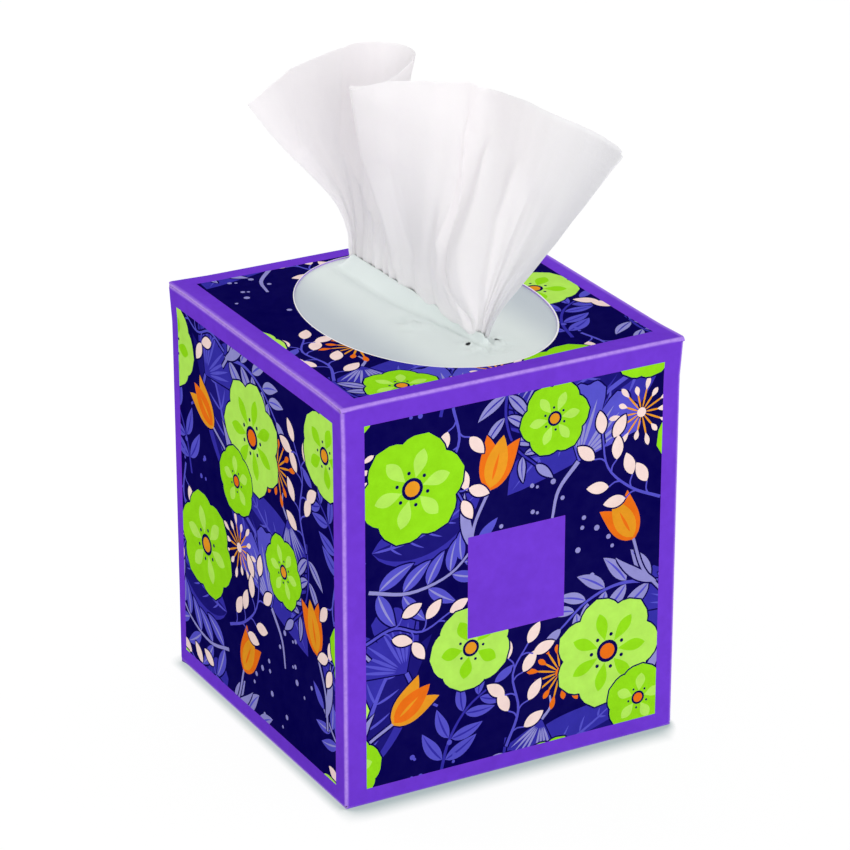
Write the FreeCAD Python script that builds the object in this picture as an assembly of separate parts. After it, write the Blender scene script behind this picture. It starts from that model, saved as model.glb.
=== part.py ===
import FreeCAD, Part
import math
import os

# Upright tissue box: a folded carton, the film behind its oval opening, the stack and the tissue
# that stands in the slit. Millimetres, +Z up, origin at the centre of the base. The front wall
# faces -Y and the glued corner is the one at +X, +Y.

V = FreeCAD.Vector

# Carton
box_width = 110.0
box_depth = 110.0
box_height = 125.0
board = 0.45
glue_line = 0.15
upright_fold_radius = 1.2
panel_fold_radius = 1.2
flap_fold_radius = 0.8
glue_lap_depth = 15.0
top_side_flap = 18.0
top_back_flap = 14.0
bottom_side_flap = 30.0
bottom_back_flap = 34.0
flap_gap = 1.0

# Oval opening in the top panel
opening_width = 70.0
opening_length = 96.2
opening_offset_x = 1.5
opening_offset_y = 1.0
flap_cutback = 2.0

# Film behind the opening
film_thickness = 0.05
film_side_margin = 7.0
film_end_margin = 3.5
film_corner_radius = 4.0
slit_half_gap = 0.8

# Line of the slit, from the tissue's back end to its front end
slit_back_x = 0.0
slit_back_y = 44.0
slit_front_x = 3.0
slit_front_y = -32.5

# Stack of interfolded tissues, bent over into an upside-down U
stack_side_clearance = 2.5
stack_end_clearance = 4.5
stack_arm_gap = 1.5
stack_shoulder = 34.0
head_space = 12.0

# Pulled tissue
tissue_width = 210.0
tissue_rise = 74.0
tissue_thickness = 0.4
tail_clearance = 0.3
neck_sway_share = 0.27

# How the sheet is gathered, followed across it from its left side edge to its right one. In
# hundredths of its width: how far its free edge lies across the view from the front corner, how
# far behind, and how far the fold sways sideways on its way up. In hundredths of the rise: the
# height of the free edge, and how high the narrow neck goes. The last is how far along the slit.
gather_shares = [
    # across, behind, sway, height, neck, along
    (-23.6, 2.4, 0.0, 81.4, 43, 0.0),
    (-16.7, 7.1, 0.0, 95.7, 43, 4.0),
    (-9.1, 11.4, 0.0, 100.3, 40, 9.0),
    (-5.0, 13.3, 0.0, 98.6, 35, 13.5),
    (-1.5, 11.9, 0.0, 97.0, 30, 18.0),
    (-3.3, 5.7, 0.0, 93.2, 30, 24.0),
    (-7.6, -1.9, 0.0, 94.7, 30, 30.5),
    (-9.4, -4.3, 0.0, 97.0, 30, 35.0),
    (-8.0, -6.2, 0.0, 99.2, 30, 39.5),
    (-2.9, -6.2, -0.5, 98.9, 30, 49.5),
    (2.6, -4.8, -1.4, 96.6, 30, 63.5),
    (6.6, -1.4, -2.9, 93.6, 30, 78.0),
    (9.4, 1.4, -3.8, 89.9, 30, 90.2),
    (12.7, -1.4, -0.7, 91.6, 30, 94.8),
    (16.8, -4.8, 0.5, 90.9, 30, 97.1),
    (22.9, -5.7, 0.7, 82.2, 30, 98.8),
    (27.3, -2.4, 1.0, 68.8, 30, 100.0),
]
view_angle = 28.8
steps_between_gathers = 4
rise_rows = (0.0, 0.06, 0.12, 0.18, 0.25, 0.33, 0.42, 0.52, 0.63, 0.75, 0.87, 1.0)
tail_rows = 2

# How far a cutting shape runs past what it cuts, and how closely faces are joined
overrun = 0.1
joining_tolerance = 0.004

# Sizes that follow from those above
half_width = box_width / 2
half_depth = box_depth / 2
flap_low = board + glue_line
flap_high = box_height - board - glue_line
wall_low = max(panel_fold_radius, flap_low + flap_fold_radius)
wall_high = box_height - wall_low
panel_underside = box_height - board
seat_height = flap_low + board
film_underside = panel_underside - film_thickness
stack_half_width = half_width - board - stack_side_clearance
stack_half_depth = half_depth - board - stack_end_clearance
crest_height = film_underside - head_space


def in_plan(height):
    return lambda point: V(point.x, point.y, height)


def in_side_view(x):
    return lambda point: V(x, point.x, point.y)


def in_front_view(y):
    return lambda point: V(point.x, y, point.y)


def left_of(direction):
    return V(-direction.y, direction.x, 0)


def folded_strip(path, radius, place, run):
    """A strip of board whose outer side follows path, folded to the left at each corner, then run."""
    ahead = [(b - a).normalize() for a, b in zip(path, path[1:])]
    outer = [path[0]]
    inner = [path[0] + left_of(ahead[0]) * board]
    for corner, before, after in zip(path[1:], ahead, ahead[1:]):
        reach = radius * math.tan(before.getAngle(after) / 2)
        centre = corner - before * reach + left_of(before) * radius
        middle = (left_of(before) + left_of(after)).normalize()
        for side, size in ((outer, radius), (inner, radius - board)):
            side += [centre - left_of(before) * size, centre - middle * size, centre - left_of(after) * size]
    outer.append(path[-1])
    inner.append(path[-1] + left_of(ahead[-1]) * board)
    edges = [Part.makeLine(place(inner[0]), place(outer[0]))]
    edges += side_edges(outer, place)
    edges.append(Part.makeLine(place(outer[-1]), place(inner[-1])))
    edges += side_edges(inner, place)[::-1]
    return Part.Face(Part.Wire(edges)).extrude(run)


def side_edges(points, place):
    """One side of a strip: its two ends, and between them the three points of each fold's arc."""
    edges = []
    for i in range(0, len(points) - 1, 3):
        if i > 0:
            bend = [place(point) for point in points[i - 2 : i + 1]]
            edges.append(Part.Arc(*bend).toShape())
        if not points[i].isEqual(points[i + 1], 1e-6):
            edges.append(Part.makeLine(place(points[i]), place(points[i + 1])))
    return edges


def plate(outline, bottom, thickness):
    """A flat plate with a straight-sided outline, given as plan points."""
    points = [V(x, y, bottom) for x, y in outline]
    return Part.Face(Part.makePolygon(points + points[:1])).extrude(V(0, 0, thickness))


def oval(margin, bottom, height):
    """An upright oval prism over the opening, larger than it by a margin all round."""
    centre = V(opening_offset_x, opening_offset_y, bottom)
    long_end = centre + V(0, opening_length / 2 + margin, 0)
    short_end = centre - V(opening_width / 2 + margin, 0, 0)
    ellipse = Part.Ellipse(long_end, short_end, centre)
    return Part.Face(Part.Wire(ellipse.toShape())).extrude(V(0, 0, height))


def walls():
    """The four walls and the glue lap, folded from one strip."""
    lap_outside = half_width - board - glue_line
    path = [
        V(lap_outside, half_depth - glue_lap_depth, 0),
        V(lap_outside, half_depth, 0),
        V(-half_width, half_depth, 0),
        V(-half_width, -half_depth, 0),
        V(half_width, -half_depth, 0),
        V(half_width, half_depth, 0),
    ]
    run = V(0, 0, wall_high - wall_low)
    return folded_strip(path, upright_fold_radius, in_plan(wall_low), run)


def front_strip():
    """The top panel, the front wall and the bottom panel, between the upright folds."""
    path = [
        V(half_depth, box_height, 0),
        V(-half_depth, box_height, 0),
        V(-half_depth, 0, 0),
        V(half_depth, 0, 0),
    ]
    reach = half_width - upright_fold_radius
    return folded_strip(path, panel_fold_radius, in_side_view(-reach), V(2 * reach, 0, 0))


def end_panel(bottom):
    """The full width of the top or bottom panel, behind its fold."""
    front = -half_depth + panel_fold_radius
    outline = [(-half_width, front), (half_width, front), (half_width, half_depth), (-half_width, half_depth)]
    panel = plate(outline, bottom, board)
    back_corners = [e for e in panel.Edges if is_upright(e) and e.CenterOfMass.y > 0]
    return panel.makeFillet(upright_fold_radius, back_corners)


def is_upright(edge):
    along = edge.Vertexes[0].Point - edge.Vertexes[-1].Point
    return abs(along.z) > 0 and abs(along.x) + abs(along.y) < abs(along.z)


def flap_folds(wall_at, inward, place, run):
    """A wall with a fold at its top and its bottom, which its flaps go on from."""
    fold_end = wall_at + inward * flap_fold_radius
    path = [
        V(fold_end, flap_low, 0),
        V(wall_at, flap_low, 0),
        V(wall_at, flap_high, 0),
        V(fold_end, flap_high, 0),
    ]
    if inward > 0:
        path.reverse()
    return folded_strip(path, flap_fold_radius, place, run)


def mitred_flap(start, end, inward, depth, bottom):
    """A flap that goes on from its fold line and narrows at 45 degrees to each side."""
    along = (end - start).normalize()
    far_start = start + along * depth + inward * depth
    far_end = end - along * depth + inward * depth
    outline = [(p.x, p.y) for p in (start, end, far_end, far_start)]
    return plate(outline, bottom, board)


def side_flaps(side):
    """The wall's folds and its two flaps, on the side given by its sign."""
    reach = half_depth - upright_fold_radius
    folds = flap_folds(side * half_width, -side, in_front_view(-reach), V(0, 2 * reach, 0))
    line = side * (half_width - flap_fold_radius)
    start = V(line, -reach, 0)
    end = V(line, reach, 0)
    inward = V(-side, 0, 0)
    top = mitred_flap(start, end, inward, top_side_flap - flap_fold_radius, flap_high - board)
    bottom = mitred_flap(start, end, inward, bottom_side_flap - flap_fold_radius, flap_low)
    return [folds, top, bottom]


def back_flaps():
    """The back wall's folds and its two flaps, the upper one cut back from the opening."""
    reach = half_width - upright_fold_radius - flap_gap
    folds = flap_folds(half_depth, -1, in_side_view(-reach), V(2 * reach, 0, 0))
    line = half_depth - flap_fold_radius
    start = V(-reach, line, 0)
    end = V(reach, line, 0)
    inward = V(0, -1, 0)
    top = mitred_flap(start, end, inward, top_back_flap - flap_fold_radius, flap_high - board)
    top = top.cut(oval(flap_cutback, flap_high - board - overrun, board + 2 * overrun))
    bottom = mitred_flap(start, end, inward, bottom_back_flap - flap_fold_radius, flap_low)
    return [folds, top, bottom]


def make_carton():
    pieces = [front_strip(), end_panel(box_height - board), end_panel(0)]
    pieces += side_flaps(1) + side_flaps(-1) + back_flaps()
    carton = walls().multiFuse(pieces)
    carton = carton.cut(oval(0, panel_underside - overrun, board + 2 * overrun))
    return carton.removeSplitter()


def slit_direction():
    return V(slit_front_x - slit_back_x, slit_front_y - slit_back_y, 0)


def make_slit():
    """A narrow slot round the slit's line, with round ends past the tissue's side edges."""
    back = V(slit_back_x, slit_back_y, film_underside - overrun)
    front = back + slit_direction()
    ahead = slit_direction().normalize()
    side = left_of(ahead) * slit_half_gap
    end = ahead * slit_half_gap
    edges = [
        Part.makeLine(back + side, front + side),
        Part.Arc(front + side, front + end, front - side).toShape(),
        Part.makeLine(front - side, back - side),
        Part.Arc(back - side, back - end, back + side).toShape(),
    ]
    return Part.Face(Part.Wire(edges)).extrude(V(0, 0, film_thickness + 2 * overrun))


def make_film():
    """Film glued under the top panel, with the slit cut in it."""
    reach_x = opening_width / 2 + film_side_margin
    reach_y = opening_length / 2 + film_end_margin
    corner = V(opening_offset_x - reach_x, opening_offset_y - reach_y, film_underside)
    film = Part.makeBox(2 * reach_x, 2 * reach_y, film_thickness, corner)
    film = film.makeFillet(film_corner_radius, [e for e in film.Edges if is_upright(e)])
    return film.cut(make_slit())


def make_stack():
    """The clip of tissues, bent over so that its two arms stand side by side."""
    shoulder = crest_height - stack_shoulder
    x = -stack_half_width
    top_from = V(x, stack_half_depth, shoulder)
    top_to = V(x, -stack_half_depth, shoulder)
    half_gap = stack_arm_gap / 2
    arm = stack_half_depth - half_gap
    gap_top = crest_height - arm
    outline = [
        Part.makeLine(V(x, stack_half_depth, seat_height), top_from),
        crown(x, shoulder),
        Part.makeLine(top_to, V(x, -stack_half_depth, seat_height)),
        Part.makeLine(V(x, -stack_half_depth, seat_height), V(x, -half_gap, seat_height)),
        Part.makeLine(V(x, -half_gap, seat_height), V(x, -half_gap, gap_top)),
        Part.Arc(V(x, -half_gap, gap_top), V(x, 0, gap_top + half_gap), V(x, half_gap, gap_top)).toShape(),
        Part.makeLine(V(x, half_gap, gap_top), V(x, half_gap, seat_height)),
        Part.makeLine(V(x, half_gap, seat_height), V(x, stack_half_depth, seat_height)),
    ]
    return Part.Face(Part.Wire(outline)).extrude(V(2 * stack_half_width, 0, 0))


def crown(x, shoulder):
    """The rounded top of the stack's outline: the upper half of an ellipse."""
    centre = V(x, 0, shoulder)
    ellipse = Part.Ellipse(V(x, stack_half_depth, shoulder), V(x, 0, crest_height), centre)
    start = ellipse.parameter(V(x, stack_half_depth, shoulder))
    end = ellipse.parameter(V(x, -stack_half_depth, shoulder))
    if ellipse.value((start + end) / 2).z < shoulder:
        start, end = end, start + 2 * math.pi
    return ellipse.toShape(start, end)


def gather_curves():
    """Two curves along the sheet's free edge: its places in space, and how it is gathered."""
    width = tissue_width / 100
    rise = tissue_rise / 100
    across = V(math.cos(math.radians(view_angle)), -math.sin(math.radians(view_angle)), 0)
    behind = V(-across.y, across.x, 0)
    edge_points = []
    gather_points = []
    for across_view, back, sway, height, neck, along in gather_shares:
        place = across * (across_view * width) + behind * (back * width)
        edge_points.append(V(place.x, place.y, height * rise))
        gather_points.append(V(along / 100, sway * width, neck / 100))
    stations = [0.0]
    for a, b in zip(edge_points, edge_points[1:]):
        stations.append(stations[-1] + a.distanceToPoint(b))
    free_edge = Part.BSplineCurve()
    free_edge.interpolate(Points=edge_points, Parameters=stations)
    gathering = Part.BSplineCurve()
    gathering.interpolate(Points=gather_points, Parameters=stations)
    return free_edge, gathering, stations, across


def sheet_grid():
    """Rows of points on the middle of the sheet, from its tail on the stack to its free edge."""
    free_edge, gathering, keys, across = gather_curves()
    stations = []
    for a, b in zip(keys, keys[1:]):
        stations += [a + (b - a) * i / steps_between_gathers for i in range(steps_between_gathers)]
    stations.append(keys[-1])
    slit_back = V(slit_back_x, slit_back_y, 0)
    tail_drop = film_underside - crest_height - tail_clearance
    rows = [[] for _ in range(tail_rows + len(rise_rows))]
    for station in stations:
        top = free_edge.value(station)
        gather = gathering.value(station)
        foot = slit_back + slit_direction() * gather.x
        for i in range(tail_rows):
            rows[i].append(V(foot.x, foot.y, film_underside - tail_drop * (1 - i / tail_rows)))
        for i, share in enumerate(rise_rows):
            rows[tail_rows + i].append(sheet_point(foot, top, gather, across, share))
    return rows


def sheet_point(foot, top, gather, across, share):
    """A point at a share of the rise, straight up in the neck and then out to the free edge."""
    spread = share * (1 - math.exp(-((share / gather.z) ** 2)))
    height = share / neck_sway_share
    sway = height * math.exp((1 - height * height) / 2)
    plan = foot + (V(top.x, top.y, 0) - foot) * spread + across * (gather.y * sway)
    return V(plan.x, plan.y, film_underside + top.z * share)


def sheet_normals(rows):
    """The direction across the sheet's thickness at each point of the grid."""
    last_row = len(rows) - 1
    last_column = len(rows[0]) - 1
    normals = []
    for i in range(len(rows)):
        line = []
        for j in range(len(rows[0])):
            upwards = rows[min(i + 1, last_row)][j] - rows[max(i - 1, 0)][j]
            sideways = rows[i][min(j + 1, last_column)] - rows[i][max(j - 1, 0)]
            line.append(sideways.cross(upwards).normalize())
        normals.append(line)
    return normals


def borders(rows):
    """The four edges of a grid of points."""
    return [rows[0], rows[-1], [row[0] for row in rows], [row[-1] for row in rows]]


def facets(rows):
    """Two triangles in each cell of a grid of points."""
    faces = []
    for row, above in zip(rows, rows[1:]):
        for a, b, c, d in zip(row, row[1:], above[1:], above):
            faces.append(Part.Face(Part.makePolygon([a, b, c, a])))
            faces.append(Part.Face(Part.makePolygon([a, c, d, a])))
    return faces


def make_pulled_tissue():
    """The sheet as a thin solid: two faceted sides, closed along their four edges."""
    rows = sheet_grid()
    normals = sheet_normals(rows)
    sides = []
    for offset in (tissue_thickness / 2, -tissue_thickness / 2):
        sides.append([[p + n * offset for p, n in zip(*row)] for row in zip(rows, normals)])
    faces = facets(sides[0]) + facets(sides[1])
    for near, far in zip(borders(sides[0]), borders(sides[1])):
        faces += facets([near, far])
    shell = Part.makeCompound(faces)
    shell.sewShape(joining_tolerance)
    return Part.makeSolid(shell.Shells[0])


os.makedirs("parts", exist_ok=True)
make_carton().exportStep("parts/carton.step")
make_film().exportStep("parts/film_window.step")
make_stack().exportStep("parts/tissue_stack.step")
make_pulled_tissue().exportStep("parts/pulled_tissue.step")
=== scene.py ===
import math
import random
from itertools import product

import bpy
import numpy as np
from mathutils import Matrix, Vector, noise
from mathutils.geometry import delaunay_2d_cdt


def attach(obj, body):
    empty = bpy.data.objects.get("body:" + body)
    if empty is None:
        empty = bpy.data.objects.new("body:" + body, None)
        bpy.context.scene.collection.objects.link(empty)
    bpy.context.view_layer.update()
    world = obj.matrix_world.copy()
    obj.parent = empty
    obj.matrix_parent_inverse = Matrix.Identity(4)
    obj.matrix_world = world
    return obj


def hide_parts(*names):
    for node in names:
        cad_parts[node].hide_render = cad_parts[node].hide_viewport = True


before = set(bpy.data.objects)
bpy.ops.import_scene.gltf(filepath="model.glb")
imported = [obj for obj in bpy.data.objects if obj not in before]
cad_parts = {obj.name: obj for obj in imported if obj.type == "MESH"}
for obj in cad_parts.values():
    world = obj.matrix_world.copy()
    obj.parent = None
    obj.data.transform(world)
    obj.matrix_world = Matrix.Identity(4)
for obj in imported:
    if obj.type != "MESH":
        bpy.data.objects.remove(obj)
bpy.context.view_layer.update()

# Tissue box: the printed carton, the film behind its oval opening, the tissue that stands in the
# slit, and the stack below. Shapes are worked out in millimetres in the row frame.

MM = 0.001
WHITE = (1.0, 1.0, 1.0, 1.0)

# Carton
HALF = 55.0
HEIGHT = 125.0
# The board's thickness, and the glue between two layers of it
BOARD = 0.45
GLUE = 0.15
# Radii of the folds: between the walls, to the top and the bottom panel, and to the flaps
UPRIGHT_RADIUS = 1.2
PANEL_RADIUS = 1.2
FLAP_RADIUS = 0.8
FLAP_LOW = BOARD + GLUE
FLAP_HIGH = HEIGHT - BOARD - GLUE
WALL_LOW = FLAP_LOW + FLAP_RADIUS
WALL_HIGH = HEIGHT - WALL_LOW
BOTTOM_INSET = 0.6
LAP_START = HALF - 15.0
# The opening's middle and its half widths
OPENING = (1.5, 1.0, 35.0, 48.1)
# How wide the bare cut edge shows round the opening, and how much more of it at the front
RIM_WIDTH = 0.22
RIM_MORE = 0.34
QUARTER = math.pi / 2
# How far each minor flap reaches in from its wall, below and above
FLAP_DEPTHS = {"back": (34.0, 14.0), "left": (30.0, 18.0), "right": (30.0, 18.0)}

# Film and slit
FILM_TOP = 124.55
FILM_BOTTOM = 124.5
SLIT_BACK = np.array((0.0, 44.0))
SLIT_FRONT = np.array((3.0, -32.5))
SLIT_RUN = SLIT_FRONT - SLIT_BACK
SLIT_LENGTH = np.linalg.norm(SLIT_RUN)
SLIT_AHEAD = SLIT_RUN / SLIT_LENGTH
SLIT_SIDE = np.array((-SLIT_AHEAD[1], SLIT_AHEAD[0]))
CREST = 112.5

# The view's turn about the upright axis, and the directions across it and away from it
VIEW = math.radians(28.8)
ACROSS = np.array((math.cos(VIEW), -math.sin(VIEW), 0.0))
BEHIND = np.array((math.sin(VIEW), math.cos(VIEW), 0.0))


# Helpers

def linear(red, green, blue):
    """A colour written as it looks, as the linear values that a shader takes."""
    values = []
    for part in (red, green, blue):
        part /= 255
        values.append(part / 12.92 if part <= 0.04045 else ((part + 0.055) / 1.055) ** 2.4)
    return (*values, 1.0)


def shaded(colour, factor, rise=0.0):
    return tuple(min(1.0, c * factor + rise) for c in colour[:3]) + (1.0,)


def smooth(x):
    x = np.clip(x, 0.0, 1.0)
    return x * x * (3 - 2 * x)


def unit(directions):
    """Directions brought to length 1."""
    lengths = np.linalg.norm(directions, axis=-1, keepdims=True)
    return directions / np.maximum(lengths, 1e-12)


def ripple(x, y, z, size, seed=0.0):
    """Smooth noise between about -1 and 1, with features of the given size in millimetres."""
    return noise.noise(Vector((x / size + seed, y / size - seed * 1.7, z / size + seed * 0.6)))


def mesh_object(name, points, faces, materials, indices=None):
    mesh = bpy.data.meshes.new(name)
    mesh.from_pydata((np.array(points, float) * MM).tolist(), [], faces)
    for material in materials:
        mesh.materials.append(material)
    if indices is not None:
        mesh.polygons.foreach_set("material_index", indices)
    mesh.shade_smooth()
    mesh.update()
    piece = bpy.data.objects.new(name, mesh)
    bpy.context.scene.collection.objects.link(piece)
    return piece


def add_attribute(piece, name, values):
    layer = piece.data.attributes.new(name, "FLOAT", "POINT")
    layer.data.foreach_set("value", [float(v) for v in values])


def put(tree, socket, value):
    """Links an input to another node's output, or sets its value."""
    if isinstance(value, bpy.types.NodeSocket):
        tree.links.new(value, socket)
    else:
        socket.default_value = value


def add_node(tree, kind, inputs=None, **settings):
    node = tree.nodes.new(kind)
    for key, value in settings.items():
        setattr(node, key, value)
    for key, value in (inputs or {}).items():
        put(tree, node.inputs[key], value)
    return node


# Materials

class Graph:
    """A material with one surface shader and small helpers for its nodes."""

    def __init__(self, name):
        self.material = bpy.data.materials.new(name)
        self.material.use_nodes = True
        self.tree = self.material.node_tree
        self.shader = self.tree.nodes["Principled BSDF"]
        self.output = self.tree.nodes["Material Output"]
        self.place = self.add("ShaderNodeTexCoord").outputs["Object"]

    def add(self, kind, inputs=None, **settings):
        return add_node(self.tree, kind, inputs, **settings)

    def attribute(self, name):
        return self.add("ShaderNodeAttribute", attribute_name=name).outputs["Fac"]

    def noise(self, scale, detail=3.0, roughness=0.5, place=None):
        inputs = {"Scale": scale, "Detail": detail, "Roughness": roughness}
        return self.add("ShaderNodeTexNoise", {"Vector": place or self.place, **inputs}).outputs["Fac"]

    def stretch(self, scale, place=None):
        inputs = {"Vector": place or self.place, "Scale": scale}
        return self.add("ShaderNodeMapping", inputs).outputs["Vector"]

    def fit(self, value, low, high, start=0.3, end=0.7):
        inputs = {"Value": value, "From Min": start, "From Max": end, "To Min": low, "To Max": high}
        return self.add("ShaderNodeMapRange", inputs).outputs["Result"]

    def math(self, operation, a, b=0.0):
        return self.add("ShaderNodeMath", {0: a, 1: b}, operation=operation).outputs[0]

    def mix(self, share, first, second):
        inputs = {0: share, 6: first, 7: second}
        return self.add("ShaderNodeMix", inputs, data_type="RGBA").outputs[2]

    def bump(self, height, strength, distance, normal=None):
        inputs = {"Height": height, "Strength": strength, "Distance": distance}
        if normal is not None:
            inputs["Normal"] = normal
        return self.add("ShaderNodeBump", inputs).outputs["Normal"]

    def set(self, key, value):
        put(self.tree, self.shader.inputs[key], value)

    def surface(self, colour, roughness, specular):
        self.set("Base Color", colour)
        self.set("Roughness", roughness)
        self.set("Specular IOR Level", specular)

    def use(self, node):
        """Makes another shader the surface."""
        put(self.tree, self.output.inputs[0], node.outputs[0])


PRINT_COLOURS = {
    "purple": (113, 58, 212),
    "navy": (6, 1, 80),
    "deep": (26, 20, 118),
    "indigo": (53, 47, 167),
    "periwinkle": (86, 82, 202),
    "lavender": (146, 143, 208),
    "lime": (147, 222, 24),
    "pale_lime": (181, 236, 92),
    "blush": (249, 220, 214),
    "orange": (236, 112, 22),
    "amber": (232, 152, 34),
    "white": (247, 244, 248),
}
COLOUR_NAMES = list(PRINT_COLOURS) + ["board", "inside", "edge"]


def print_material(name, colour):
    """Satin varnish over offset print on board: faint mottle, fine fibre, and a lavender line at the
    folds that is partly rubbed ink and partly a painted highlight.
    """
    g = Graph("print_" + name)
    ink = linear(*colour)
    pale = shaded(ink, 1.1, 0.004)
    dark = shaded(ink, 0.91)
    mottle = g.fit(g.noise(260.0, 4.0, 0.6), 0.0, 1.0)
    clouds = g.fit(g.noise(22.0, 2.0), 0.0, 1.0)
    share = g.math("ADD", g.math("MULTIPLY", mottle, 0.55), g.math("MULTIPLY", clouds, 0.45))
    inked = g.mix(share, dark, pale)
    # Painted highlight: lavender is mixed in along the folds, together with rubbed ink.
    fold = g.attribute("fold")
    grain = g.fit(g.noise(700.0, 3.0, 0.65), 0.72, 1.0, 0.35, 0.6)
    wear_and_highlight = g.math("MULTIPLY", fold, grain)
    coloured = g.mix(wear_and_highlight, inked, linear(186, 146, 244))
    g.surface(coloured, g.fit(g.noise(420.0, 3.0), 0.42, 0.55), 0.0)
    fibre = g.bump(g.noise(1500.0, 4.0, 0.6), 0.25, 0.00003)
    g.set("Normal", g.bump(g.noise(95.0, 2.0), 0.2, 0.00012, fibre))
    return g.material


def board_material(name, colour, fibre_scale):
    """Unprinted board: pale pulp with specks and a soft fibrous surface."""
    g = Graph(name)
    pulp = linear(*colour)
    dark = shaded(pulp, 0.84)
    specks = g.fit(g.noise(fibre_scale, 5.0, 0.7), 0.0, 1.0, 0.38, 0.6)
    clouds = g.fit(g.noise(45.0, 2.0), 0.0, 1.0)
    share = g.math("MULTIPLY", specks, g.math("ADD", clouds, 0.4))
    g.surface(g.mix(share, pulp, dark), g.fit(g.noise(fibre_scale, 3.0), 0.78, 0.95), 0.25)
    g.set("Normal", g.bump(g.noise(fibre_scale * 1.6, 4.0, 0.65), 0.5, 0.00005))
    return g.material


def film_material():
    """Thin milky film: nearly smooth, slightly glossy, with fine stretch lines, and painted shade that
    greys it towards the left and right of the opening.
    """
    g = Graph("milky_film")
    drift = g.fit(g.noise(28.0, 2.0), 0.0, 1.0)
    milky = g.mix(drift, linear(234, 243, 241), linear(240, 249, 246))
    # Painted shade: the film is greyer towards the left and right of the opening.
    coloured = g.mix(g.attribute("sides_painted_shade"), milky, linear(203, 213, 219))
    lines = g.noise(1.0, 2.0, 0.5, g.stretch((90.0, 24.0, 24.0)))
    g.surface(coloured, g.fit(lines, 0.3, 0.42), 0.2)
    g.set("IOR", 1.5)
    g.set("Alpha", 0.9)
    g.set("Normal", g.bump(lines, 0.1, 0.0002, g.bump(g.noise(40.0, 2.0), 0.15, 0.0004)))
    return g.material


def tissue_material():
    """Soft creped tissue: matt white with a fine crepe across the sheet and stray fibres, and painted
    shade greying its left lobe and its right edge.
    """
    g = Graph("creped_tissue")
    across = g.attribute("sheet_across")
    along = g.attribute("sheet_along")
    flat = g.add("ShaderNodeCombineXYZ", {"X": across, "Y": along, "Z": 0.0}).outputs["Vector"]
    crepe = g.noise(3.2, 3.0, 0.6, g.stretch((0.35, 1.0, 1.0), flat))
    cloud = g.fit(g.noise(0.16, 3.0, 0.55, flat), 0.0, 1.0)
    fibre = g.fit(g.noise(5.5, 4.0, 0.7, flat), 0.0, 1.0, 0.35, 0.65)
    share = g.math("ADD", g.math("MULTIPLY", cloud, 0.7), g.math("MULTIPLY", fibre, 0.3))
    white = g.mix(share, linear(253, 251, 252), linear(255, 254, 254))
    # Painted shade: the sheet is greyed over its left lobe and towards its right edge.
    right_edge_painted_shade = g.fit(across, 0.0, 1.0, 160.0, 188.0)
    left_lobe_painted_shade = g.fit(across, 0.0, 1.0, 2.0, 12.0)
    left_lobe_painted_shade = g.math("MULTIPLY", left_lobe_painted_shade, g.fit(across, 1.0, 0.0, 36.0, 50.0))
    white = g.mix(left_lobe_painted_shade, white, linear(243, 241, 242))
    g.surface(g.mix(right_edge_painted_shade, white, linear(222, 223, 225)), g.fit(crepe, 0.86, 0.96), 0.12)
    g.set("Sheen Weight", 0.25)
    g.set("Sheen Roughness", 0.5)
    relief = g.bump(crepe, 0.22, 0.00012, g.bump(g.noise(0.55, 2.0, 0.5, flat), 0.25, 0.0003))
    g.set("Normal", relief)
    glow = g.add("ShaderNodeBsdfTranslucent", {"Color": linear(253, 251, 252), "Normal": relief})
    g.use(g.add("ShaderNodeMixShader", {0: 0.45, 1: g.shader.outputs[0], 2: glow.outputs[0]}))
    return g.material


def stack_material():
    """Interfolded tissues seen edge on: many thin pale layers, slightly uneven."""
    g = Graph("layered_tissue")
    waves = g.add(
        "ShaderNodeTexWave",
        {"Vector": g.place, "Scale": 380.0, "Distortion": 5.0, "Detail": 3.0, "Detail Scale": 0.6},
        bands_direction="Y",
    ).outputs["Fac"]
    soft = g.fit(g.noise(120.0, 4.0, 0.6), 0.0, 1.0)
    share = g.math("MULTIPLY", waves, soft)
    coloured = g.mix(share, linear(244, 242, 243), linear(222, 221, 224))
    g.surface(coloured, g.fit(soft, 0.88, 0.97, 0.0, 1.0), 0.15)
    g.set("Normal", g.bump(waves, 0.5, 0.0003, g.bump(g.noise(900.0, 3.0), 0.3, 0.0001)))
    return g.material


# Printed design, drawn flat. Every shape is a list of points and the name of its colour, and the
# motifs give their shapes in the order in which they are painted.

OUTLINE_WIDTH = 0.5
LEAST_OUTLINED = 5.0


def leaf(base, angle, length, width, lean=0.8, fullness=0.9, bend=0.0, steps=11):
    """A leaf or petal on a curved centre line, from its base to its tip."""
    left, right = [], []
    x, y = base
    for i in range(steps + 1):
        t = i / steps
        heading = math.radians(angle) + bend * (t - 0.5)
        half = width / 2 * math.sin(math.pi * t**lean) ** fullness if 0 < i < steps else 0.0
        left.append((x - half * math.sin(heading), y + half * math.cos(heading)))
        right.append((x + half * math.sin(heading), y - half * math.cos(heading)))
        x += length / steps * math.cos(heading)
        y += length / steps * math.sin(heading)
    return left + right[-2:0:-1]


def disc(centre, radius, steps=18, squash=1.0):
    x, y = centre
    turns = [2 * math.pi * i / steps for i in range(steps)]
    return [(x + radius * math.cos(t), y + radius * squash * math.sin(t)) for t in turns]


def stroke(points, start_width, end_width):
    """A tapering line through a few points, smoothed."""
    line = curve_through(points)
    left, right = [], []
    for i, point in enumerate(line):
        ahead = line[min(i + 1, len(line) - 1)] - line[max(i - 1, 0)]
        side = np.array((-ahead[1], ahead[0])) / max(np.linalg.norm(ahead), 1e-6)
        half = (start_width + (end_width - start_width) * i / (len(line) - 1)) / 2
        left.append(tuple(point + side * half))
        right.append(tuple(point - side * half))
    return left + right[::-1]


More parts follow.
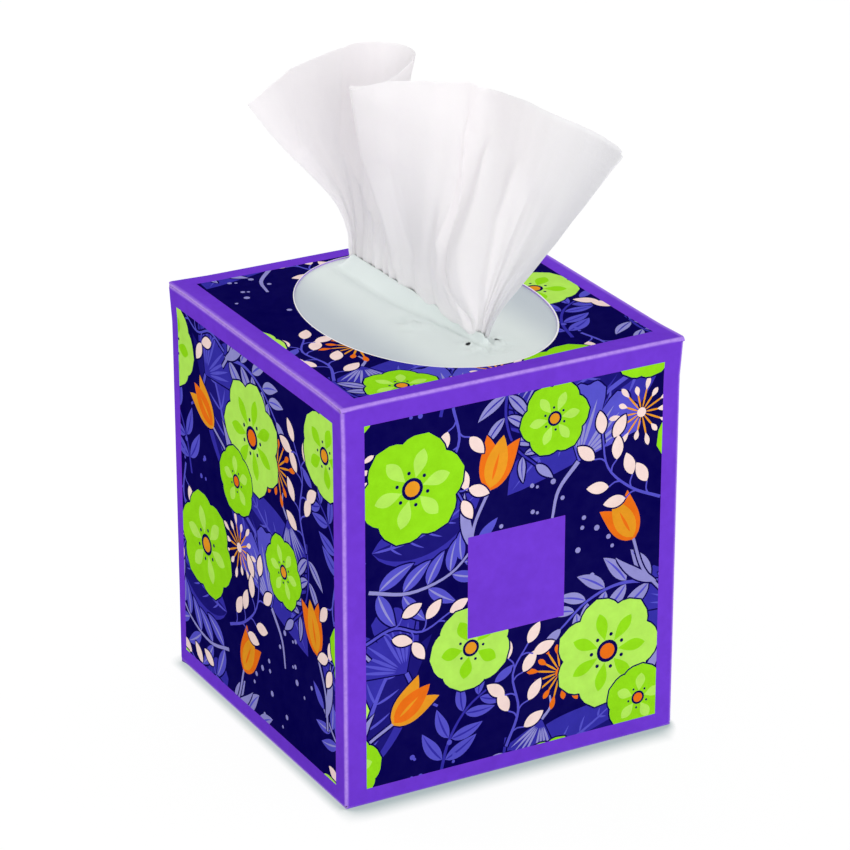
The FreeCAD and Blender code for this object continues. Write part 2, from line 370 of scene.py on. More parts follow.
def curve_through(points):
    """Points along a smooth curve through the given ones."""
    points = [np.array(p, float) for p in points]
    ends = [2 * points[0] - points[1]] + points + [2 * points[-1] - points[-2]]
    line = []
    for a, b, c, d in zip(ends, ends[1:], ends[2:], ends[3:]):
        for t in np.arange(5) / 5:
            bend = (2 * a - 5 * b + 4 * c - d) * t**2 + (3 * b - a - 3 * c + d) * t**3
            line.append(0.5 * (2 * b + (c - a) * t + bend))
    return line + [points[-1]]


def heading_at(line, k):
    """A curve's direction after one of its points, in degrees."""
    return math.degrees(math.atan2(*(line[k + 1] - line[k])[::-1]))


def polar(centre, angle, distance):
    turn = math.radians(angle)
    return centre[0] + distance * math.cos(turn), centre[1] + distance * math.sin(turn)


def blossom(centre, size, petals, turn, outer="lime", inner="pale_lime", heart="amber"):
    """An open flower: broad petals, a paler one inside each, and a dotted heart."""
    angles = [turn + i * 360 / petals for i in range(petals)]
    for start, length, width, lean, fullness, colour in (
        (0.06, 0.94, 5.3, 1.5, 0.62, outer),
        (0.2, 0.52, 1.5, 1.3, 0.8, inner),
    ):
        for angle in angles:
            base = polar(centre, angle, size * start)
            width_each = size * width / petals
            yield leaf(base, angle, size * length, width_each, lean, fullness), colour
    yield disc(centre, size * 0.2), "navy"
    yield disc(centre, size * 0.14, 14), heart
    for angle in angles:
        spot = polar(centre, angle + 180 / petals, size * 0.3)
        yield disc(spot, size * 0.035, 8), "navy"


def fan(base, angle, size, spread, body="periwinkle", ray="lavender", stem=1.0):
    """A fan-shaped leaf with a cleft, fine rays and a curved stalk."""
    foot = polar(base, angle + 180, size * 0.75 * stem)
    knee = polar(polar(base, angle + 180, size * 0.4 * stem), angle + 90, size * 0.09)
    yield stroke([foot, knee, base], size * 0.035, size * 0.06), ray
    edge = [base]
    for t in np.linspace(-1, 1, 35).tolist():
        cleft = 1 - 0.34 * math.exp(-((t / 0.07) ** 2))
        frill = 1 + 0.025 * math.cos(t * 21) - 0.13 * abs(t) ** 3
        edge.append(polar(base, angle + t * spread, size * cleft * frill))
    yield edge, body
    for i in (-4, -3, -2, -1, 1, 2, 3, 4):
        t = i / 4.7
        start = polar(base, angle + t * spread * 0.9, size * 0.16)
        length = size * (0.66 - 0.1 * abs(t))
        yield leaf(start, angle + t * spread, length, size * 0.045), ray


def tulip(base, angle, size, first="orange", second="amber"):
    """A cupped flower of three petals on a stalk, with one long leaf."""
    foot = polar(base, angle + 180, size * 1.15)
    knee = polar(polar(base, angle + 180, size * 0.6), angle + 90, size * 0.1)
    blade = polar(base, angle + 180, size * 0.95)
    yield stroke([foot, knee, base], size * 0.05, size * 0.05), "lavender"
    yield leaf(blade, angle + 24, size * 0.95, size * 0.17, 0.8, 1.0, -0.5), "lavender"
    for side in (1, -1):
        start = polar(base, angle + side * 160, size * 0.04)
        turn, bend = angle + side * 19, side * 0.35
        yield leaf(start, turn, size * 0.86, size * 0.36, 0.75, 0.9, bend), first
    yield leaf(base, angle, size * 0.8, size * 0.36, 0.8, 0.85), second
    yield leaf(polar(base, angle, size * 0.12), angle, size * 0.42, size * 0.05), first


def spray(points, count, size):
    """A curved twig with pointed buds on short stalks at both sides."""
    yield stroke(points, size * 0.3, size * 0.16), "periwinkle"
    line = curve_through(points)
    for i in range(count):
        k = int((i + 1.2) / (count + 0.6) * (len(line) - 2))
        ahead = heading_at(line, k)
        side = 1 if i % 2 else -1
        bend = polar(line[k], ahead + side * 42, size * 0.6)
        tip = polar(line[k], ahead + side * 58, size * 1.25)
        yield stroke([line[k], bend, tip], size * 0.16, size * 0.14), "periwinkle"
        yield leaf(tip, ahead + side * 36, size * 2.3, size * 1.15, 0.9, 0.8), "blush"
    yield leaf(line[-1], heading_at(line, -2), size * 2.2, size * 1.1, 0.9, 0.8), "blush"


def outlined(shapes):
    """The shapes with a navy line round all but the smallest of them."""
    grown = []
    for points, _ in shapes:
        corners = np.array(points, float)
        before, after = np.roll(corners, 1, axis=0), np.roll(corners, -1, axis=0)
        area = 0.5 * np.sum(corners[:, 0] * after[:, 1] - corners[:, 1] * after[:, 0])
        if abs(area) > LEAST_OUTLINED:
            along = after - before
            out = np.column_stack([along[:, 1], -along[:, 0]]) * np.sign(area)
            out /= np.maximum(np.linalg.norm(out, axis=1, keepdims=True), 1e-6)
            grown.append(([tuple(p) for p in corners + out * OUTLINE_WIDTH], "navy"))
    return grown + shapes


def sprig(points, pairs, size, first="periwinkle", second="lavender", stalk="lavender", ratio=0.36):
    """A twig with pairs of almond leaves, each in two tones."""
    line = curve_through(points)
    for i in range(pairs):
        k = int((i + 0.6) / pairs * (len(line) - 2))
        length = size * (1 - 0.35 * i / pairs)
        width = length * ratio
        for side in (1, -1):
            angle = heading_at(line, k) + side * 46
            base = polar(line[k], angle, size * 0.06)
            bend = -0.35 * side
            yield leaf(base, angle, length, width, 0.8, 0.9, bend), first
            yield leaf(base, angle, length * 0.96, width * 0.16, 0.7, 0.9, bend), second
    yield leaf(line[-1], heading_at(line, -2), size * 0.7, size * 0.24), first
    yield stroke(points, size * 0.09, size * 0.05), stalk


def seed_head(centre, size, count, turn, tip="orange"):
    """A round head of thin rays that end in drops."""
    for i in range(count):
        angle = turn + 360 / count * i
        reach = size * (1.0 if i % 2 else 0.78)
        start = polar(centre, angle, size * 0.1)
        drop = polar(centre, angle, reach * 0.62)
        yield leaf(start, angle, reach * 0.72, size * 0.055, 0.9, 0.7, 0.0, 6), "amber"
        yield leaf(drop, angle, reach * 0.38, size * 0.15, 1.3, 0.7, 0.0, 8), tip
    yield disc(centre, size * 0.14, 12), tip


def big_leaf(base, angle, length, width, bend):
    """A broad leaf in the background with a darker half, a midrib and a few veins."""
    yield leaf(base, angle, length, width, 0.85, 0.85, bend, 18), "indigo"
    yield leaf(base, angle - 7, length * 0.93, width * 0.44, 0.85, 0.85, bend + 0.2, 16), "deep"
    yield leaf(base, angle, length * 0.97, width * 0.055, 0.6, 0.6, bend, 16), "periwinkle"
    for i in range(1, 6):
        t = i / 6.5
        foot = polar(base, angle + math.degrees(bend * (t / 2 - 0.5)), length * t)
        reach = width * 0.36 * math.sin(math.pi * (t + 0.08) ** 0.85)
        for side in (1, -1):
            turn = angle + math.degrees(bend * (t - 0.5)) + side * 42
            yield leaf(foot, turn, reach, width * 0.035, 0.7, 0.7, -0.3 * side, 7), "periwinkle"


def dots(centre, spread, count, seed, colour="lavender"):
    maker = random.Random(seed)
    for _ in range(count):
        place = polar(centre, maker.uniform(0, 360), spread * math.sqrt(maker.random()))
        yield disc(place, maker.uniform(0.5, 1.0), 9), colour


# What the design is made of, in the order in which it is drawn.
DESIGN = [
    (big_leaf, (97, 116), 214, 62, 27, 0.5),
    (big_leaf, (-3, 3), 66, 52, 24, -0.6),
    (big_leaf, (44, -8), 24, 46, 20, 0.6),
    (big_leaf, (2, 74), 20, 38, 17, 0.7),
    (fan, (69, 88), 62, 24, 46),
    (fan, (13, 34), 128, 22, 48, "indigo", "periwinkle"),
    (fan, (58, 8), 250, 17, 44, "indigo", "lavender", 0.6),
    (sprig, [(1, 62), (14, 59), (27, 62), (36, 70)], 5, 13),
    (sprig, [(97, 44), (84, 46), (73, 43), (64, 36)], 5, 13, "lavender", "periwinkle", "periwinkle"),
    (sprig, [(24, -2), (27, 9), (33, 18), (42, 24)], 4, 12, "periwinkle", "indigo", "indigo"),
    (sprig, [(46, 118), (45, 107), (48, 97), (55, 90)], 4, 11, "lavender", "indigo", "indigo", 0.3),
    (tulip, (40, 86), 74, 20),
    (tulip, (9, 19), 40, 19, "amber", "orange"),
    (tulip, (88, 60), 118, 19),
    (seed_head, (64, 22), 12, 16, 8),
    (seed_head, (90, 99), 11, 14, 0, "blush"),
    (spray, [(97, 71), (87, 76), (79, 84), (77, 95)], 7, 3.3),
    (spray, [(28, 113), (30, 103), (27, 93), (31, 84)], 6, 3.2),
    (spray, [(46, 2), (50, 13), (48, 25), (53, 34)], 7, 3.3),
    (spray, [(0, 46), (9, 49), (18, 46), (27, 50)], 5, 3.1),
    (blossom, (15, 91), 17, 6, 12),
    (blossom, (80, 25), 18, 7, 0, "pale_lime", "lime", "orange"),
    (blossom, (34, 37), 13.5, 5, 40, "pale_lime", "lime"),
    (blossom, (91, 7), 11, 5, 10, "lime", "pale_lime", "orange"),
    (blossom, (61, 103), 11.5, 6, 5, "lime", "pale_lime"),
    (dots, (54, 76), 11, 9, 1),
    (dots, (20, 4), 9, 7, 2, "periwinkle"),
    (dots, (70, 58), 12, 9, 3),
]
OUTLINED = (fan, sprig, tulip, spray, blossom)
FIELD = (97.0, 113.0)


def design():
    """The whole design on one field, which repeats to every side."""
    shapes = []
    for maker, *values in DESIGN:
        made = list(maker(*values))
        shapes += outlined(made) if maker in OUTLINED else made
    return shapes


def moved(points, by):
    return [(x + by[0], y + by[1]) for x, y in points]


def repeated(shapes, low, high, shift, mirror):
    """The design moved by a shift and repeated over a rectangle of a panel."""
    placed = []
    for points, colour in shapes:
        if mirror:
            points = [(FIELD[0] - x, y) for x, y in points]
        corners = np.array(points)
        least, most = corners.min(axis=0), corners.max(axis=0)
        for step in product(range(-2, 3), repeat=2):
            move = np.add(low, shift) + np.multiply(step, FIELD)
            if np.all(least + move <= high) and np.all(most + move >= low):
                placed.append((moved(points, move), colour))
    return placed


# Carton

class Wall:
    """One straight part of the wall strip: where it lies along the strip and in the plan."""

    def __init__(self, name, start, length, point, heading, middle):
        self.name = name
        self.start = start
        self.end = start + length
        self.point = np.array(point)
        self.heading = np.array(heading)
        self.normal = np.array((heading[1], -heading[0]))
        self.middle = start + middle
        panelled = name == "front"
        self.low = 0.0 if panelled else FLAP_LOW
        self.high = HEIGHT if panelled else FLAP_HIGH
        self.radius = PANEL_RADIUS if panelled else FLAP_RADIUS
        self.quarter = self.radius * QUARTER
        # Where the folds to the flaps start, below and above, and the blank's height for inset 0
        self.starts = {-1: self.low + self.radius, 1: self.high - self.radius}
        self.over = self.high - self.radius + self.quarter - self.radius
        self.reach = HALF if panelled else HALF - UPRIGHT_RADIUS - (1 if name == "back" else 0)


# Every wall's name, its length between folds and how far along it the carton's middle lies
RUNS = (
    ("lap", 13.8, 0.0),
    ("back", 107.0, 53.2),
    ("left", 107.6, 53.8),
    ("front", 107.6, 53.8),
    ("right", 108.8, 53.8),
)


def lay_out():
    """The walls in order along the strip, and the folds between them."""
    walls, folds = [], []
    point = np.array((HALF - BOARD - GLUE, LAP_START))
    heading = np.array((0.0, 1.0))
    u = 0.0
    for name, length, middle in RUNS:
        walls.append(Wall(name, u, length, point, heading, middle))
        point = point + heading * length
        u += length
        if name != "right":
            left = np.array((-heading[1], heading[0]))
            centre = point + left * UPRIGHT_RADIUS
            folds.append((u, u + UPRIGHT_RADIUS * QUARTER, centre, -left))
            point = centre + heading * UPRIGHT_RADIUS
            heading = left
            u += UPRIGHT_RADIUS * QUARTER
    return walls, folds


WALLS, FOLDS = lay_out()
BACK, FRONT = WALLS[1], WALLS[3]
BLANK_END = WALLS[-1].end


def profile(w, wall, depth):
    """Insets and heights of points at heights along the blank and a depth into the board."""
    bottom, top = wall.starts[-1], wall.starts[1]
    over = np.maximum(w - top, bottom - w)
    angle = np.clip(over / wall.radius, 0.0, QUARTER)
    beyond = np.maximum(over - wall.quarter, 0.0)
    inside_radius = wall.radius - depth
    inset = wall.radius - inside_radius * np.cos(angle) + beyond
    rise = inside_radius * np.sin(angle)
    z = np.where(w > top, top + rise, bottom - rise)
    return np.where(over > 0, inset, depth), np.where(over > 0, z, w)


def folded(u, w, depth):
    """Where points of the flat blank lie once the carton is folded."""
    out = np.zeros((len(u), 3))
    left = np.ones(len(u), bool)
    panel = ((w > WALL_HIGH + 0.1) | (w < WALL_LOW - 0.1)) & (np.abs(u - FRONT.middle) < HALF + 0.05)
    strips = [(wall, (u >= wall.start - 1e-6) & (u <= wall.end + 1e-6)) for wall in WALLS]
    for wall, mask in [(FRONT, panel)] + strips:
        mask = mask & left
        left &= ~mask
        inset, z = profile(w[mask], wall, depth)
        ahead = np.outer(u[mask] - wall.start, wall.heading)
        out[mask, :2] = wall.point + ahead - np.outer(inset, wall.normal)
        out[mask, 2] = z
    for start, end, centre, normal in FOLDS:
        mask = left & (u > start) & (u < end)
        angle = (u[mask] - start) / UPRIGHT_RADIUS
        side = np.array((-normal[1], normal[0]))
        turned = np.outer(np.cos(angle), normal) + np.outer(np.sin(angle), side)
        out[mask, :2] = centre + turned * (UPRIGHT_RADIUS - depth)
        out[mask, 2] = w[mask]
    return out


def settle(points):
    """The small ways in which a folded carton is not quite square: flared corners, bowed panels."""
    x, y, z = points[:, 0], points[:, 1], points[:, 2]
    corner = smooth((np.abs(x) - 41) / 14) * smooth((np.abs(y) - 41) / 14) * smooth((z - 111) / 14)
    flare = 0.55 * corner
    level = np.maximum(0.0, 4 * z / HEIGHT * (1 - z / HEIGHT))
    open_x = np.maximum(0.0, 1 - (x / HALF) ** 2)
    open_y = np.maximum(0.0, 1 - (y / HALF) ** 2)
    bow_x = 0.4 * level * open_y * smooth((np.abs(x) - 30) / 25)
    bow_y = 0.3 * level * open_x * smooth((np.abs(y) - 30) / 25)
    out_x = np.sign(x) * (flare - bow_x * np.where(x < 0, 1.0, -0.6))
    out_y = np.sign(y) * (flare - bow_y * np.where(y < 0, -0.7, 1.0))
    sag = 0.45 * smooth((z - 118) / 6) * open_x * open_y
    return np.column_stack([x + out_x, y + out_y, z - sag + 0.15 * corner])


def blank_outline():
    """The outline of the flat blank, with its flaps and end panels."""
    low_side, high_side = [(0.0, WALL_LOW)], [(0.0, WALL_HIGH)]
    for wall in WALLS[1:]:
        for side, sign, edge in ((low_side, -1, WALL_LOW), (high_side, 1, WALL_HIGH)):
            start = wall.starts[sign]
            # The bottom panel is a little narrower, so that no edge of it shows below the walls
            reach = wall.reach - (BOTTOM_INSET if wall is FRONT and sign < 0 else 0.0)
            a, b = wall.middle - reach, wall.middle + reach
            if wall is FRONT:
                end = start + sign * (wall.quarter + (2 * HALF - wall.radius))
                half = [(0, start), (0, end - sign * 1.2), (0.35, end - sign * 0.35), (1.2, end)]
                side += [(wall.start, edge), (wall.start, start)]
            else:
                flat = FLAP_DEPTHS[wall.name][0 if sign < 0 else 1] - wall.radius
                end = start + sign * (wall.quarter + flat)
                half = [(0, start), (0, start + sign * wall.quarter), (flat, end)]
            side += [(a + x, y) for x, y in half] + [(b - x, y) for x, y in half[::-1]]
            if wall is FRONT:
                side += [(wall.end, start), (wall.end, edge)]
    low_side.append((BLANK_END, WALL_LOW))
    high_side.append((BLANK_END, WALL_HIGH))
    return low_side + high_side[::-1]


def oval(extra, near_extra=0.0, steps=120):
    """The opening's outline, widened all round and more at the front."""
    x0, y0, rx, ry = OPENING
    points = []
    for i in range(steps):
        angle = 2 * math.pi * i / steps
        wide = extra + near_extra * (0.5 - 0.5 * math.sin(angle))
        points.append((x0 + (rx + wide) * math.cos(angle), y0 + (ry + wide) * math.sin(angle)))
    return points


def opening_on_panel(extra, near_extra=0.0):
    return [(FRONT.middle + x, FRONT.over + HALF + y) for x, y in oval(extra, near_extra)]


def opening_on_back_flap():
    """The part of the widened oval that the upper back flap is cut back from."""
    cut = [(x, max(y, HALF - 20)) for x, y in oval(2.0, 0.0, 60)]
    return [(BACK.middle - x, BACK.over + HALF - y) for x, y in cut]


def rectangle(low, high):
    return [(low[0], low[1]), (high[0], low[1]), (high[0], high[1]), (low[0], high[1])]


def fold_lines():
    """Lines along every fold and beside it, so that the mesh bends only there."""
    lines = []
    beside = (0.45, 1.1, 2.4)
    for start, end, _, _ in FOLDS:
        places = [start + (end - start) * i / 6 for i in range(7)]
        places += [start - d for d in beside] + [end + d for d in beside]
        lines += [((u, WALL_LOW), (u, WALL_HIGH)) for u in places]
    for wall in WALLS[1:]:
        for sign, start in wall.starts.items():
            places = [start + sign * wall.quarter * i / 6 for i in range(7)]
            places += [start - sign * d for d in beside]
            places += [start + sign * (wall.quarter + d) for d in beside[:2]]
            for w in places:
                past = sign * (w - start) > 0
                a = wall.middle - wall.reach if past else wall.start
                b = wall.middle + wall.reach if past else wall.end
                lines.append(((a, w), (b, w)))
    panels = ((FRONT.high, FRONT.high + 2 * HALF - 1), (FRONT.low, FRONT.low - 2 * HALF + 1))
    for inset in (0.6, 1.4):
        for start, end in panels:
            for side in (-1, 1):
                u = FRONT.middle + side * (HALF - inset)
                lines.append(((u, start), (u, end)))
    return lines


def fold_wear_and_highlight(u, w):
    """How far the print is paled to lavender, from 0 to 1, as rubbed ink and painted highlight
    together: most on the folds and the panels' cut edges.
    """
    worst = np.zeros(len(u))
    strip = (w > WALL_LOW - 0.2) & (w < WALL_HIGH + 0.2)
    for start, end, _, _ in FOLDS[1:]:
        worst = np.maximum(worst, strip * np.exp(-(((u - (start + end) / 2) / 0.62) ** 4)))
    for wall in WALLS[1:]:
        on_wall = (u >= wall.start - 1.3) & (u <= wall.end + 1.3)
        for sign, strength in ((1, 1.0), (-1, 0.35)):
            middle = wall.starts[sign] + sign * wall.quarter / 2
            worst = np.maximum(worst, on_wall * strength * np.exp(-(((w - middle) / 0.6) ** 4)))
    # On the top panel the lavender runs in from its side edges: a painted highlight as well as rubbed
    # ink.
    inset = HALF - np.abs(u - FRONT.middle)
    on_top = (w > FRONT.high) & (inset > -0.1)
    return np.maximum(worst, on_top * 0.9 * np.exp(-((inset / 0.75) ** 2)))


def inside(polygon, places):
    """Which of the places lie inside a polygon."""
    x, y = places[:, 0], places[:, 1]
    hit = np.zeros(len(places), bool)
    for (x0, y0), (x1, y1) in zip(polygon, polygon[1:] + polygon[:1]):
        if y0 != y1:
            crosses = (y0 > y) != (y1 > y)
            hit ^= crosses & (x < x0 + (y - y0) / (y1 - y0) * (x1 - x0))
    return hit


def paint(polygon, colour, places, colours, chosen=None):
    """Gives the places inside a polygon its colour, among the chosen ones."""
    xs = [x for x, _ in polygon]
    ys = [y for _, y in polygon]
    chosen = np.arange(len(places)) if chosen is None else chosen
    x, y = places[chosen, 0], places[chosen, 1]
    near = chosen[(x > min(xs)) & (x < max(xs)) & (y > min(ys)) & (y < max(ys))]
    hit = near[inside(polygon, places[near])]
    colours[hit] = COLOUR_NAMES.index(colour)
    return hit


# Every printed panel: its name, the low and high corner of its frame, how far the design is moved in
# it and whether it is mirrored. They are measured from the wall's middle and foot, or on the top
# from its middle.
FIELDS = (
    ("front", (-48.2, 5.4), (49.0, 118.5), (0.0, 0.0), False),
    ("left", (-50.3, 5.7), (49.0, 118.7), (31.0, 64.0), True),
    ("right", (-49.0, 5.5), (49.0, 118.5), (62.0, 30.0), False),
    ("back", (-49.0, 5.5), (49.0, 118.5), (20.0, 81.0), True),
    ("top", (-48.4, -49.6), (49.8, 49.9), (52.0, 12.0), False),
)
PLAIN_SQUARE = ((-15.3, 45.5), (16.7, 77.5))


def print_layers():
    """What is printed on the blank: plain areas, then for each panel its frame and its design."""
    plain = [
        rectangle((BACK.start - 1, -2.4), (BLANK_END + 1, HEIGHT + 2.6)),
        rectangle((FRONT.middle - HALF - 0.5, -200), (FRONT.middle + HALF + 0.5, 300)),
    ]
    shapes = design()
    middles = {wall.name: (wall.middle, 0.0) for wall in WALLS}
    middles["top"] = (FRONT.middle, FRONT.over + HALF)
    panels = []
    for name, low, high, shift, mirror in FIELDS:
        frame_line = rectangle(low, high)
        if name == "top":
            frame_line[1] = (high[0], -47.0)
        placed = repeated(shapes, low, high, shift, mirror)
        if name in ("front", "back"):
            placed.append((rectangle(*PLAIN_SQUARE), "purple"))
        by = middles[name]
        placed = [(moved(points, by), colour) for points, colour in placed]
        panels.append((moved(frame_line, by), placed))
    return plain, panels


def split(line, step=5.5):
    """A line's points with more between them, no further apart than the step."""
    points = []
    for a, b in zip(line, line[1:]):
        parts = max(1, math.ceil(math.dist(a, b) / step))
        across, up = b[0] - a[0], b[1] - a[1]
        points += [(a[0] + across * i / parts, a[1] + up * i / parts) for i in range(parts)]
    return points + [line[-1]]


# Distances between the loose points that keep the triangles even, in millimetres
PRINTED_SPACING = 7.0
PLAIN_SPACING = 9.0
FILM_SPACING = 1.5
# Points nearer than this are one point
SAME_PLACE = 1e-4


def cut_up(lines, loose=()):
    """Triangles between lines on the flat blank: their corner points and their numbers."""
    points, edges = [], []
    for line in lines:
        first = len(points)
        points += [Vector(p) for p in line]
        edges += [(i, i + 1) for i in range(first, len(points) - 1)]
    points += [Vector(p) for p in loose]
    out = delaunay_2d_cdt(points, edges, [], 0, SAME_PLACE, False)
    return np.array([tuple(p) for p in out[0]]), np.array([list(face) for face in out[2]])


def closed(polygon):
    return polygon + polygon[:1]


def colour_seams(flat, triangles, colours):
    """The edges between triangles of different colours."""
    sides = np.concatenate([triangles[:, [0, 1]], triangles[:, [1, 2]], triangles[:, [2, 0]]])
    sides = np.sort(sides, axis=1)
    owners = np.tile(np.arange(len(triangles)), 3)
    order = np.lexsort((sides[:, 1], sides[:, 0]))
    sides, owners = sides[order], owners[order]
    same = np.all(sides[1:] == sides[:-1], axis=1)
    differ = same & (colours[owners[1:]] != colours[owners[:-1]])
    return [(tuple(flat[a]), tuple(flat[b])) for a, b in sides[1:][differ]]


def carton_blank(printed):
    """The blank cut into triangles: its points, its faces and each face's colour."""
    outline, opening, flap_cut = blank_outline(), opening_on_panel(0.0), opening_on_back_flap()
    rim = opening_on_panel(RIM_WIDTH, RIM_MORE)
    plain, panels = print_layers() if printed else ([], [])

    def coloured(flat, triangles):
        middles = flat[triangles].mean(axis=1)
        kept = inside(outline, middles) & ~inside(opening, middles)
        kept &= ~(inside(flap_cut, middles) & (middles[:, 1] > BACK.high))
        triangles, middles = triangles[kept], middles[kept]
        colours = np.full(len(triangles), COLOUR_NAMES.index("board"))
        for polygon in plain:
            paint(polygon, "purple", middles, colours)
        for frame_line, placed in panels:
            chosen = paint(frame_line, "navy", middles, colours)
            for polygon, colour in placed:
                paint(polygon, colour, middles, colours, chosen)
        if printed:
            paint(rim, "white", middles, colours)
        return triangles, colours

    lines = [split(closed(outline)), closed(opening), closed(flap_cut)]
    lines += [split(line) for line in fold_lines()]
    if printed:
        lines.append(closed(rim))
        drawn = [closed(polygon) for polygon in plain]
        for frame_line, placed in panels:
            drawn += [closed(frame_line)] + [closed(polygon) for polygon, _ in placed]
        flat, triangles = cut_up([closed(outline), closed(opening)] + drawn)
        triangles, colours = coloured(flat, triangles)
        lines += colour_seams(flat, triangles, colours)
    spacing = PRINTED_SPACING if printed else PLAIN_SPACING
    columns = range(int(BLANK_END / spacing) + 1)
    loose = [(i * spacing + 1.3, j * spacing + 0.7) for i in columns for j in range(-16, 37)]
    flat, triangles = cut_up(lines, loose)
    triangles, colours = coloured(flat, triangles)
    return *used_points(flat, triangles), colours


def boundary_edges(faces):
    """The directed edges that only one face has."""
    seen = {side: True for face in faces for side in zip(face, face[1:] + face[:1])}
    return [(a, b) for a, b in seen if (b, a) not in seen]


def board_surface(u, w, depth):
    """Folded and settled points of the board at a depth, and the outward direction at each."""
    step = 0.02
    ahead = settle(folded(np.minimum(u + step, BLANK_END), w, depth))
    behind = settle(folded(np.maximum(u - step, 0.0), w, depth))
    above = settle(folded(u, w + step, depth))
    below = settle(folded(u, w - step, depth))
    return settle(folded(u, w, depth)), unit(np.cross(ahead - behind, above - below))


def used_points(flat, triangles):
    """The points that the triangles use, and the triangles by these points' own numbers."""
    used, numbers = np.unique(triangles, return_inverse=True)
    return flat[used], numbers.reshape(-1, 3).tolist()


def place_key(point):
    return round(point[0], 3), round(point[1], 3)


def build_carton():
    materials = [print_material(name, colour) for name, colour in PRINT_COLOURS.items()]
    materials.append(board_material("board_flap", (236, 233, 228), 800.0))
    materials.append(board_material("board_inside", (214, 210, 203), 650.0))
    # The cut edges are tinted lavender instead of the pale pulp of bare board: partly ink on the edge,
    # partly a painted highlight line.
    materials.append(board_material("board_cut_edge", (190, 152, 244), 1800.0))
    outer_uv, outer_faces, outer_colours = carton_blank(True)
    inner_uv, inner_faces, _ = carton_blank(False)
    edges = boundary_edges(outer_faces)
    # Points at the outer side's edges that the inner side lacks are added to it
    inner_at = {place_key(point): i for i, point in enumerate(inner_uv)}
    extra = []
    for a, _ in edges:
        if place_key(outer_uv[a]) not in inner_at:
            inner_at[place_key(outer_uv[a])] = len(inner_uv) + len(extra)
            extra.append(outer_uv[a])
    inner_uv = np.array([*inner_uv, *extra])
    outer, outer_normals = board_surface(outer_uv[:, 0], outer_uv[:, 1], 0.0)
    inner, inner_normals = board_surface(inner_uv[:, 0], inner_uv[:, 1], BOARD)
    points = np.concatenate([outer, inner])
    normals = np.concatenate([outer_normals, -inner_normals])
    faces = outer_faces + [[i + len(outer) for i in reversed(face)] for face in inner_faces]
    indices = [int(colour) for colour in outer_colours]
    indices += [COLOUR_NAMES.index("inside")] * len(inner_faces)
    loop_normals = [tuple(normals[i]) for face in faces for i in face]
    for a, b in edges:
        quad = [b, a] + [inner_at[place_key(outer_uv[i])] + len(outer) for i in (a, b)]
        faces.append(quad)
        indices.append(COLOUR_NAMES.index("edge"))
        sides = points[quad[1:3]] - points[quad[0]]
        loop_normals += [tuple(unit(np.cross(*sides)))] * 4
    carton = mesh_object("carton_printed", points, faces, materials, indices)
    # The fold attribute holds rubbed ink and a painted highlight along the folds and the top panel's
    # cut edges.
    wear_and_highlight = fold_wear_and_highlight(outer_uv[:, 0], outer_uv[:, 1])
    add_attribute(carton, "fold", np.concatenate([wear_and_highlight, np.zeros(len(inner))]))
    carton.data.normals_split_custom_set(loop_normals)
    return carton


# Pulled tissue. How the sheet is gathered, followed across it from its left side edge to its right
# one: across the view, behind and sway in hundredths of its width, height and neck in hundredths of
# its rise, and how far along the slit.

GATHERS = [
    (-23.9, 2.4, 0.0, 83.2, 46, 0.0),
    (-16.7, 7.1, 0.0, 94.3, 45, 4.0),
    (-9.1, 11.4, 0.0, 100.3, 40, 9.0),
    (-5.0, 13.3, 0.0, 98.6, 35, 13.5),
    (-1.5, 11.9, 0.0, 97.0, 30, 18.0),
    (-3.3, 5.7, 0.0, 93.2, 30, 24.0),
    (-7.6, -1.9, 0.0, 94.7, 30, 30.5),
    (-9.4, -4.3, 0.0, 97.0, 30, 35.0),
    (-8.0, -6.2, 0.0, 99.2, 30, 39.5),
    (-2.9, -6.2, -0.5, 101.0, 30, 49.5),
    (2.6, -4.8, -1.4, 99.6, 30, 63.5),
    (6.6, -1.4, -2.9, 95.9, 30, 78.0),
    (9.4, 1.4, -3.8, 91.0, 30, 90.2),
    (12.7, -1.4, -0.7, 89.9, 30, 94.8),
    (16.8, -4.8, 0.5, 87.6, 30, 97.1),
    (22.9, -5.7, 0.7, 80.5, 30, 98.8),
    (27.3, -2.4, 1.0, 69.6, 30, 100.0),
]
